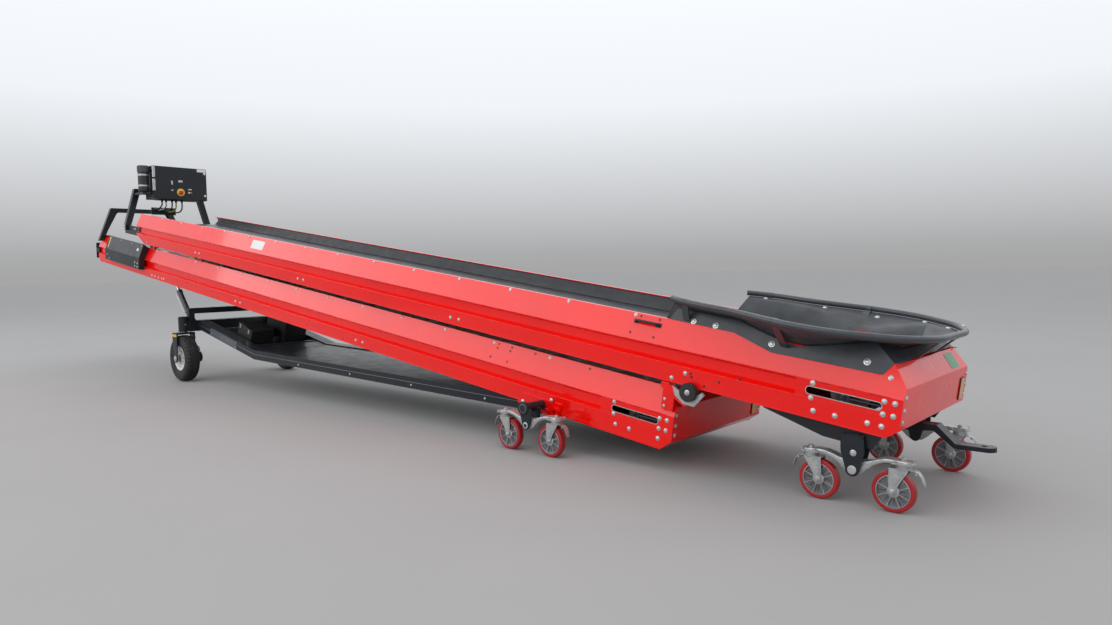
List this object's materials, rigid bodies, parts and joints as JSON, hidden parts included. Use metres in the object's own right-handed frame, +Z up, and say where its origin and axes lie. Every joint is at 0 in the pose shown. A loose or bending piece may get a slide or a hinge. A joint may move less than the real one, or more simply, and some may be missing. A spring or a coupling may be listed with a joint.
{
  "type": "mobile telescopic belt conveyor",
  "caption": "Two stacked belt conveyors that telescope, on a steered undercarriage and caster bogies, with a feed hopper, drawbar and control cabinet.",
  "frame": {"origin": "on the ground, in the middle of the stored machine", "axes": "+X towards the low feed end and its drawbar, +Y to the far side, +Z up"},
  "size_m": [10.645, 1.42, 2.49],
  "materials": {
    "frame_red": "gloss",
    "frame_dark": "satin",
    "galvanised": "dull spangle",
    "roller_steel": "turned",
    "belt_rubber": "matt",
    "skirt_rubber": "matt",
    "flap_rubber": "matt",
    "caster_tread": "satin",
    "tyre": "matt",
    "rim_white": "gloss",
    "cylinder_black": "satin",
    "rod_chrome": "polished",
    "lamp_red": "gloss",
    "tube_black": "matt",
    "pack_dark": "satin"
  },
  "bodies": {
    "chassis": {"chassis_frame": "frame_dark", "hydraulic_pack": "pack_dark"},
    "lower_conveyor": {"lower_belt": "belt_rubber", "lower_rollers": "roller_steel", "lower_bed": "galvanised", "lower_end_plate": "frame_red", "lower_skirts": "skirt_rubber", "head_covers": "frame_dark", "guard_hoop": "frame_dark", "tail_lights": "lamp_red", "guide_rollers": "galvanised", "lower_side_near": "frame_red", "lower_side_far": "frame_red"},
    "carriage": {"roller_carriage": "galvanised"},
    "upper_conveyor": {"upper_belt": "belt_rubber", "upper_rollers": "roller_steel", "upper_bed": "galvanised", "upper_end_plate": "frame_red", "upper_skirts": "skirt_rubber", "upper_side_near": "frame_red", "upper_side_far": "frame_red", "hopper_collar": "frame_dark", "hopper_rail": "frame_dark", "hopper_flap": "flap_rubber", "feed_axle": "frame_dark", "drawbar": "frame_dark", "control_arch": "frame_dark", "control_cabinet": "frame_dark", "document_tube": "tube_black"},
    "cabinet_door": {"cabinet_door": "frame_dark"},
    "steer_near": {"steer_fork_near": "frame_dark"},
    "wheel_near": {"tyre_near": "tyre", "rim_near": "rim_white"},
    "lift_barrel_near": {"lift_barrel_near": "cylinder_black"},
    "lift_rod_near": {"lift_rod_near": "rod_chrome"},
    "bogie_upper_near": {"bogie_upper_near": "galvanised"},
    "swivel_upper_near_front": {"caster_fork_upper_near_front": "galvanised"},
    "caster_upper_near_front": {"caster_wheel_upper_near_front": "caster_tread"},
    "swivel_upper_near_rear": {"caster_fork_upper_near_rear": "galvanised"},
    "caster_upper_near_rear": {"caster_wheel_upper_near_rear": "caster_tread"},
    "bogie_lower_near": {"bogie_lower_near": "galvanised"},
    "swivel_lower_near_front": {"caster_fork_lower_near_front": "galvanised"},
    "caster_lower_near_front": {"caster_wheel_lower_near_front": "caster_tread"},
    "swivel_lower_near_rear": {"caster_fork_lower_near_rear": "galvanised"},
    "caster_lower_near_rear": {"caster_wheel_lower_near_rear": "caster_tread"},
    "steer_far": {"steer_fork_far": "frame_dark"},
    "wheel_far": {"tyre_far": "tyre", "rim_far": "rim_white"},
    "lift_barrel_far": {"lift_barrel_far": "cylinder_black"},
    "lift_rod_far": {"lift_rod_far": "rod_chrome"},
    "bogie_upper_far": {"bogie_upper_far": "galvanised"},
    "swivel_upper_far_front": {"caster_fork_upper_far_front": "galvanised"},
    "caster_upper_far_front": {"caster_wheel_upper_far_front": "caster_tread"},
    "swivel_upper_far_rear": {"caster_fork_upper_far_rear": "galvanised"},
    "caster_upper_far_rear": {"caster_wheel_upper_far_rear": "caster_tread"},
    "bogie_lower_far": {"bogie_lower_far": "galvanised"},
    "swivel_lower_far_front": {"caster_fork_lower_far_front": "galvanised"},
    "caster_lower_far_front": {"caster_wheel_lower_far_front": "caster_tread"},
    "swivel_lower_far_rear": {"caster_fork_lower_far_rear": "galvanised"},
    "caster_lower_far_rear": {"caster_wheel_lower_far_rear": "caster_tread"}
  },
  "joints": [
    {"name": "lift", "type": "hinge", "parent": "chassis", "child": "lower_conveyor", "pos_m": [2.83751, 0, 0.285], "axis": [0, 1, 0], "range_deg": [0, 4]},
    {"name": "extend", "type": "slide", "parent": "lower_conveyor", "child": "carriage", "axis": [0.9907, 0, -0.1357], "range_m": [0, 6.9]},
    {"name": "tilt", "type": "hinge", "parent": "carriage", "child": "upper_conveyor", "pos_m": [-3.53952, 0, 1.54592], "axis": [0, -1, 0], "range_deg": [0, 7]},
    {"name": "cabinet_door", "type": "hinge", "parent": "upper_conveyor", "child": "cabinet_door", "pos_m": [-3.77196, -0.325, 2.29], "axis": [0, 0, -1], "range_deg": [0, 110]},
    {"name": "steer_near", "type": "hinge", "parent": "chassis", "child": "steer_near", "pos_m": [-2.41249, -0.6, 0.53], "axis": [0, 0, 1], "range_deg": [-90, 90]},
    {"name": "wheel_near", "type": "hinge", "parent": "steer_near", "child": "wheel_near", "pos_m": [-2.41249, -0.6, 0.25], "axis": [0, 1, 0], "continuous": true},
    {"name": "barrel_near", "type": "hinge", "parent": "chassis", "child": "lift_barrel_near", "pos_m": [-2.49749, -0.485, 0.69], "axis": [0, 1, 0], "range_deg": [0, 22.59]},
    {"name": "rod_near", "type": "slide", "parent": "lift_barrel_near", "child": "lift_rod_near", "axis": [-0.6766, 0, 0.7363], "range_m": [0, 0.30776]},
    {"name": "bogie_upper_near", "type": "hinge", "parent": "upper_conveyor", "child": "bogie_upper_near", "pos_m": [4.82251, -0.46, 0.18], "axis": [0, 1, 0], "range_deg": [-10, 10]},
    {"name": "swivel_upper_near_front", "type": "hinge", "parent": "bogie_upper_near", "child": "swivel_upper_near_front", "pos_m": [5.04251, -0.46, 0.24], "axis": [0, 0, 1], "continuous": true},
    {"name": "caster_upper_near_front", "type": "hinge", "parent": "swivel_upper_near_front", "child": "caster_upper_near_front", "pos_m": [5.00051, -0.46, 0.1], "axis": [0, 1, 0], "continuous": true},
    {"name": "swivel_upper_near_rear", "type": "hinge", "parent": "bogie_upper_near", "child": "swivel_upper_near_rear", "pos_m": [4.60251, -0.46, 0.24], "axis": [0, 0, 1], "continuous": true},
    {"name": "caster_upper_near_rear", "type": "hinge", "parent": "swivel_upper_near_rear", "child": "caster_upper_near_rear", "pos_m": [4.64451, -0.46, 0.1], "axis": [0, 1, 0], "continuous": true},
    {"name": "bogie_lower_near", "type": "hinge", "parent": "chassis", "child": "bogie_lower_near", "pos_m": [2.85751, -0.66, 0.18], "axis": [0, 1, 0], "range_deg": [-10, 10]},
    {"name": "swivel_lower_near_front", "type": "hinge", "parent": "bogie_lower_near", "child": "swivel_lower_near_front", "pos_m": [3.07751, -0.66, 0.24], "axis": [0, 0, 1], "continuous": true},
    {"name": "caster_lower_near_front", "type": "hinge", "parent": "swivel_lower_near_front", "child": "caster_lower_near_front", "pos_m": [3.03551, -0.66, 0.1], "axis": [0, 1, 0], "continuous": true},
    {"name": "swivel_lower_near_rear", "type": "hinge", "parent": "bogie_lower_near", "child": "swivel_lower_near_rear", "pos_m": [2.63751, -0.66, 0.24], "axis": [0, 0, 1], "continuous": true},
    {"name": "caster_lower_near_rear", "type": "hinge", "parent": "swivel_lower_near_rear", "child": "caster_lower_near_rear", "pos_m": [2.67951, -0.66, 0.1], "axis": [0, 1, 0], "continuous": true},
    {"name": "steer_far", "type": "hinge", "parent": "chassis", "child": "steer_far", "pos_m": [-2.41249, 0.6, 0.53], "axis": [0, 0, 1], "range_deg": [-90, 90]},
    {"name": "wheel_far", "type": "hinge", "parent": "steer_far", "child": "wheel_far", "pos_m": [-2.41249, 0.6, 0.25], "axis": [0, 1, 0], "continuous": true},
    {"name": "barrel_far", "type": "hinge", "parent": "chassis", "child": "lift_barrel_far", "pos_m": [-2.49749, 0.485, 0.69], "axis": [0, 1, 0], "range_deg": [0, 22.59]},
    {"name": "rod_far", "type": "slide", "parent": "lift_barrel_far", "child": "lift_rod_far", "axis": [-0.6766, 0, 0.7363], "range_m": [0, 0.30776]},
    {"name": "bogie_upper_far", "type": "hinge", "parent": "upper_conveyor", "child": "bogie_upper_far", "pos_m": [4.82251, 0.46, 0.18], "axis": [0, 1, 0], "range_deg": [-10, 10]},
    {"name": "swivel_upper_far_front", "type": "hinge", "parent": "bogie_upper_far", "child": "swivel_upper_far_front", "pos_m": [5.04251, 0.46, 0.24], "axis": [0, 0, 1], "continuous": true},
    {"name": "caster_upper_far_front", "type": "hinge", "parent": "swivel_upper_far_front", "child": "caster_upper_far_front", "pos_m": [5.00051, 0.46, 0.1], "axis": [0, 1, 0], "continuous": true},
    {"name": "swivel_upper_far_rear", "type": "hinge", "parent": "bogie_upper_far", "child": "swivel_upper_far_rear", "pos_m": [4.60251, 0.46, 0.24], "axis": [0, 0, 1], "continuous": true},
    {"name": "caster_upper_far_rear", "type": "hinge", "parent": "swivel_upper_far_rear", "child": "caster_upper_far_rear", "pos_m": [4.64451, 0.46, 0.1], "axis": [0, 1, 0], "continuous": true},
    {"name": "bogie_lower_far", "type": "hinge", "parent": "chassis", "child": "bogie_lower_far", "pos_m": [2.85751, 0.66, 0.18], "axis": [0, 1, 0], "range_deg": [-10, 10]},
    {"name": "swivel_lower_far_front", "type": "hinge", "parent": "bogie_lower_far", "child": "swivel_lower_far_front", "pos_m": [3.07751, 0.66, 0.24], "axis": [0, 0, 1], "continuous": true},
    {"name": "caster_lower_far_front", "type": "hinge", "parent": "swivel_lower_far_front", "child": "caster_lower_far_front", "pos_m": [3.03551, 0.66, 0.1], "axis": [0, 1, 0], "continuous": true},
    {"name": "swivel_lower_far_rear", "type": "hinge", "parent": "bogie_lower_far", "child": "swivel_lower_far_rear", "pos_m": [2.63751, 0.66, 0.24], "axis": [0, 0, 1], "continuous": true},
    {"name": "caster_lower_far_rear", "type": "hinge", "parent": "swivel_lower_far_rear", "child": "caster_lower_far_rear", "pos_m": [2.67951, 0.66, 0.1], "axis": [0, 1, 0], "continuous": true}
  ],
  "couplings": [
    {"joint": "barrel_near", "follows": "lift", "ratio": 5.6456},
    {"joint": "rod_near", "follows": "lift", "m_per_rad": 4.4055},
    {"joint": "barrel_far", "follows": "lift", "ratio": 5.6456},
    {"joint": "rod_far", "follows": "lift", "m_per_rad": 4.4055}
  ]
}
